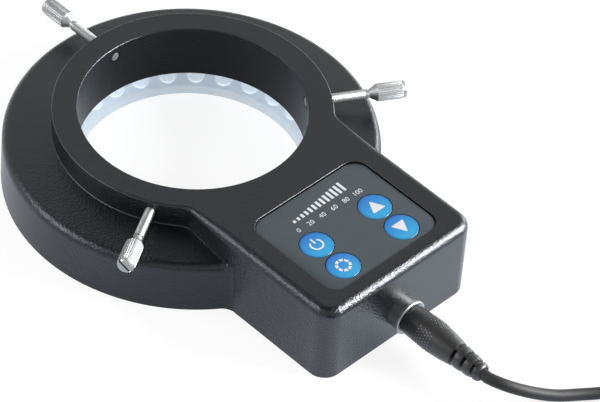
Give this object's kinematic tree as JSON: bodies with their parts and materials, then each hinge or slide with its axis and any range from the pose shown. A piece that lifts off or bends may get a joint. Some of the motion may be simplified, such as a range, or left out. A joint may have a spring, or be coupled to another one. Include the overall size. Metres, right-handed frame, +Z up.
{
  "type": "microscope ring light",
  "caption": "Keyhole-shaped ring light for a stereo microscope, with radial clamping screws, a keypad box and a plug-in supply lead.",
  "frame": {"origin": "on the surface the light stands on, under the middle of its bounding box without the lead", "axes": "+X from the ring's axis towards the control box and its socket, +Z up along the lens axis, away from the lamps"},
  "size_m": [0.2503, 0.1723, 0.028],
  "materials": {
    "black_casting": "black powder coat with a fine orange peel",
    "frosted_cover": "pale, frosted, translucent",
    "lamp_board": "white solder mask, clear lamps",
    "slate_film": "slate grey printed film",
    "blue_key": "blue with a soft gradient and white marks",
    "circuit_board": "green solder mask",
    "black_plastic": "moulded, satin",
    "capacitor_sleeve": "shrink sleeve",
    "white_nylon": "natural nylon",
    "red_lead": "insulated wires",
    "cord_jacket": "soft moulded black plastic, satin",
    "nickel": "nickel plated, bright",
    "steel": "zinc plated"
  },
  "bodies": {
    "housing": {"upper_housing": "black_casting", "diffuser_ring": "frosted_cover", "diffuser_screw_1": "steel", "diffuser_screw_2": "steel", "diffuser_screw_3": "steel", "diffuser_screw_4": "steel", "led_board": "lamp_board", "led_screw_1": "steel", "led_screw_2": "steel", "led_screw_3": "steel", "led_screw_4": "steel", "base_cover": "black_casting", "base_screw_1": "steel", "base_screw_2": "steel", "base_screw_3": "steel", "base_screw_4": "steel", "keypad_overlay": "slate_film", "control_board": "circuit_board", "board_screw_1": "steel", "board_screw_2": "steel", "board_screw_3": "steel", "switch_1": "black_plastic", "switch_2": "black_plastic", "switch_3": "black_plastic", "switch_4": "black_plastic", "driver_chip": "black_plastic", "storage_capacitor": "capacitor_sleeve", "choke": "black_plastic", "lamp_connector": "white_nylon", "lamp_harness": "red_lead", "jack_bushing": "nickel", "jack_nut": "nickel", "jack_body": "black_plastic", "jack_pin": "nickel"},
    "power_key": {"key_power": "blue_key", "plunger_1": "white_nylon"},
    "mode_key": {"key_mode": "blue_key", "plunger_2": "white_nylon"},
    "up_key": {"key_up": "blue_key", "plunger_3": "white_nylon"},
    "down_key": {"key_down": "blue_key", "plunger_4": "white_nylon"},
    "tip_1": {"screw_tip_1": "white_nylon"},
    "screw_1": {"thumb_screw_1": "nickel"},
    "tip_2": {"screw_tip_2": "white_nylon"},
    "screw_2": {"thumb_screw_2": "nickel"},
    "tip_3": {"screw_tip_3": "white_nylon"},
    "screw_3": {"thumb_screw_3": "nickel"},
    "lead": {"plug_sleeve": "nickel", "dc_plug": "cord_jacket", "cord_run": "cord_jacket", "cord_coil": "cord_jacket", "cord_tail": "cord_jacket", "cord_tie": "black_plastic", "adapter_body": "black_plastic", "adapter_cap": "black_plastic", "adapter_transformer": "steel", "adapter_relief": "cord_jacket", "adapter_pin_1": "nickel", "adapter_pin_2": "nickel"}
  },
  "joints": [
    {"name": "power_press", "type": "slide", "parent": "housing", "child": "power_key", "axis": [0, 0, -1], "range_m": [0, 0.0003], "stiffness_N_per_m": 4000, "springref_m": -0.0001},
    {"name": "mode_press", "type": "slide", "parent": "housing", "child": "mode_key", "axis": [0, 0, -1], "range_m": [0, 0.0003], "stiffness_N_per_m": 4000, "springref_m": -0.0001},
    {"name": "up_press", "type": "slide", "parent": "housing", "child": "up_key", "axis": [0, 0, -1], "range_m": [0, 0.0003], "stiffness_N_per_m": 4000, "springref_m": -0.0001},
    {"name": "down_press", "type": "slide", "parent": "housing", "child": "down_key", "axis": [0, 0, -1], "range_m": [0, 0.0003], "stiffness_N_per_m": 4000, "springref_m": -0.0001},
    {"name": "screw_1_travel", "type": "slide", "parent": "housing", "child": "tip_1", "axis": [1, 0, 0], "range_m": [-0.00405, 0.0108]},
    {"name": "screw_1_turn", "type": "hinge", "parent": "tip_1", "child": "screw_1", "pos_m": [-0.0426, 0, 0.0205], "axis": [1, 0, 0], "range_deg": [-3240, 8640]},
    {"name": "screw_2_travel", "type": "slide", "parent": "housing", "child": "tip_2", "axis": [-0.5, -0.866, 0], "range_m": [-0.00405, 0.0108]},
    {"name": "screw_2_turn", "type": "hinge", "parent": "tip_2", "child": "screw_2", "pos_m": [0.00315, 0.02641, 0.0205], "axis": [-0.5, -0.866, 0], "range_deg": [-3240, 8640]},
    {"name": "screw_3_travel", "type": "slide", "parent": "housing", "child": "tip_3", "axis": [-0.5, 0.866, 0], "range_m": [-0.00405, 0.0108]},
    {"name": "screw_3_turn", "type": "hinge", "parent": "tip_3", "child": "screw_3", "pos_m": [0.00315, -0.02641, 0.0205], "axis": [-0.5, 0.866, 0], "range_deg": [-3240, 8640]},
    {"name": "plug_pull", "type": "slide", "parent": "housing", "child": "lead", "axis": [1, 0, 0], "range_m": [0, 0.012]}
  ],
  "couplings": [
    {"joint": "screw_1_turn", "follows": "screw_1_travel", "rad_per_m": 13963},
    {"joint": "screw_2_turn", "follows": "screw_2_travel", "rad_per_m": 13963},
    {"joint": "screw_3_turn", "follows": "screw_3_travel", "rad_per_m": 13963}
  ]
}
